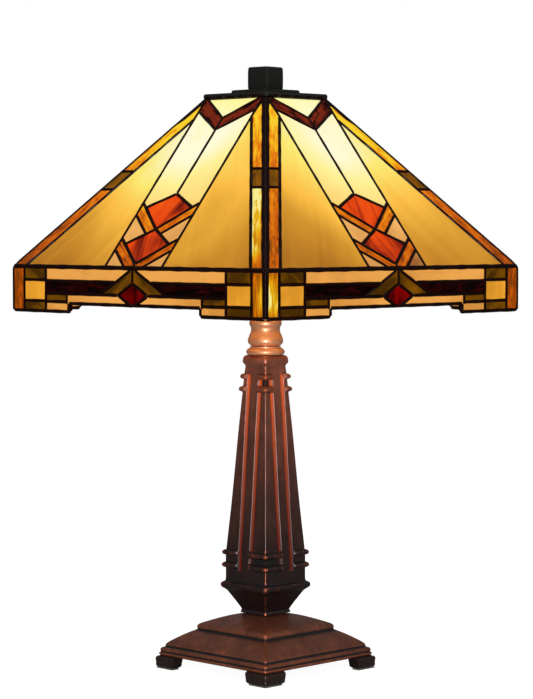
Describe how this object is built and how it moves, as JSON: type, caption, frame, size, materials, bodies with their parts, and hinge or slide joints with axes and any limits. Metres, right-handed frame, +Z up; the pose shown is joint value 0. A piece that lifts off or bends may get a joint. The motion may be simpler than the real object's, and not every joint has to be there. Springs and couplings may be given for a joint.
{
  "type": "table lamp",
  "caption": "Table lamp with a square leaded-glass shade of geometric cut pieces on a tapered, grooved bronze column and a stepped square base with bracket feet.",
  "frame": {"origin": "middle of the footprint, on the surface the lamp stands on", "axes": "+Z up the lamp's axis; X and Y square to the sides of the shade and base; the cord inlet is on +Y"},
  "size_m": [0.3598, 0.3598, 0.6002],
  "materials": {
    "bronze": "brown-black antique bronze paint, rubbed rust-red on edges",
    "copper": "satin copper plate",
    "brass": "satin brass",
    "steel": "zinc-plated thread",
    "black_metal": "matte black, slightly rough",
    "lead": "black-patinated solder, soft gloss",
    "opal_glass": "opalescent cut glass, lit from behind",
    "amber_glass": "opalescent and streaky cut glass, lit from behind",
    "felt": "felt",
    "porcelain": "glazed insulator",
    "bulb_glass": "frosted, lit",
    "black_plastic": "moulded"
  },
  "bodies": {
    "stand": {"foot_pad_front_right": "felt", "foot_pad_back_right": "felt", "foot_pad_back_left": "felt", "foot_pad_front_left": "felt", "base_casting": "bronze", "cord_bushing": "black_plastic", "column_casting": "bronze", "threaded_pipe": "steel", "base_washer": "steel", "base_nut": "steel", "neck_collar": "copper", "neck_cup": "copper", "riser_rod": "steel", "seat_nut": "steel", "cluster_body": "brass", "socket_nipple_right": "brass", "socket_cap_right": "brass", "socket_shell_right": "brass", "socket_core_right": "porcelain", "socket_nipple_left": "brass", "socket_cap_left": "brass", "socket_shell_left": "brass", "socket_core_left": "porcelain"},
    "shade_seat": {"seat_washer": "steel"},
    "shade": {"roof_glass_front": "opal_glass", "roof_leading_front": "lead", "apron_glass_front": "amber_glass", "apron_leading_front": "lead", "eave_came_front": "lead", "hip_came_front_right": "lead", "roof_glass_right": "opal_glass", "roof_leading_right": "lead", "apron_glass_right": "amber_glass", "apron_leading_right": "lead", "eave_came_right": "lead", "hip_came_back_right": "lead", "roof_glass_back": "opal_glass", "roof_leading_back": "lead", "apron_glass_back": "amber_glass", "apron_leading_back": "lead", "eave_came_back": "lead", "hip_came_back_left": "lead", "roof_glass_left": "opal_glass", "roof_leading_left": "lead", "apron_glass_left": "amber_glass", "apron_leading_left": "lead", "eave_came_left": "lead", "hip_came_front_left": "lead", "top_cap": "black_metal", "cap_plate": "black_metal"},
    "finial": {"finial": "black_metal"},
    "bulb_right": {"bulb_screw_right": "brass", "bulb_glass_right": "bulb_glass"},
    "knob_right": {"switch_knob_right": "black_plastic"},
    "bulb_left": {"bulb_screw_left": "brass", "bulb_glass_left": "bulb_glass"},
    "knob_left": {"switch_knob_left": "black_plastic"}
  },
  "joints": [
    {"name": "shade_swivel", "type": "hinge", "parent": "stand", "child": "shade_seat", "pos_m": [0, 0, 0.57], "axis": [0, 0, 1], "continuous": true},
    {"name": "shade_lift", "type": "slide", "parent": "shade_seat", "child": "shade", "axis": [0, 0, 1], "range_m": [0, 0.26]},
    {"name": "finial_turn", "type": "hinge", "parent": "shade", "child": "finial", "pos_m": [0, 0, 0.59], "axis": [0, 0, 1], "continuous": true},
    {"name": "bulb_turn_right", "type": "hinge", "parent": "stand", "child": "bulb_right", "pos_m": [0.03199, 0.03199, 0.44185], "axis": [0.2988, 0.2988, 0.9063], "continuous": true},
    {"name": "knob_turn_right", "type": "hinge", "parent": "stand", "child": "knob_right", "pos_m": [0.02153, 0.02153, 0.41013], "axis": [0.7071, -0.7071, 0], "continuous": true},
    {"name": "bulb_turn_left", "type": "hinge", "parent": "stand", "child": "bulb_left", "pos_m": [-0.03199, -0.03199, 0.44185], "axis": [-0.2988, -0.2988, 0.9063], "continuous": true},
    {"name": "knob_turn_left", "type": "hinge", "parent": "stand", "child": "knob_left", "pos_m": [-0.02153, -0.02153, 0.41013], "axis": [-0.7071, 0.7071, 0], "continuous": true}
  ]
}
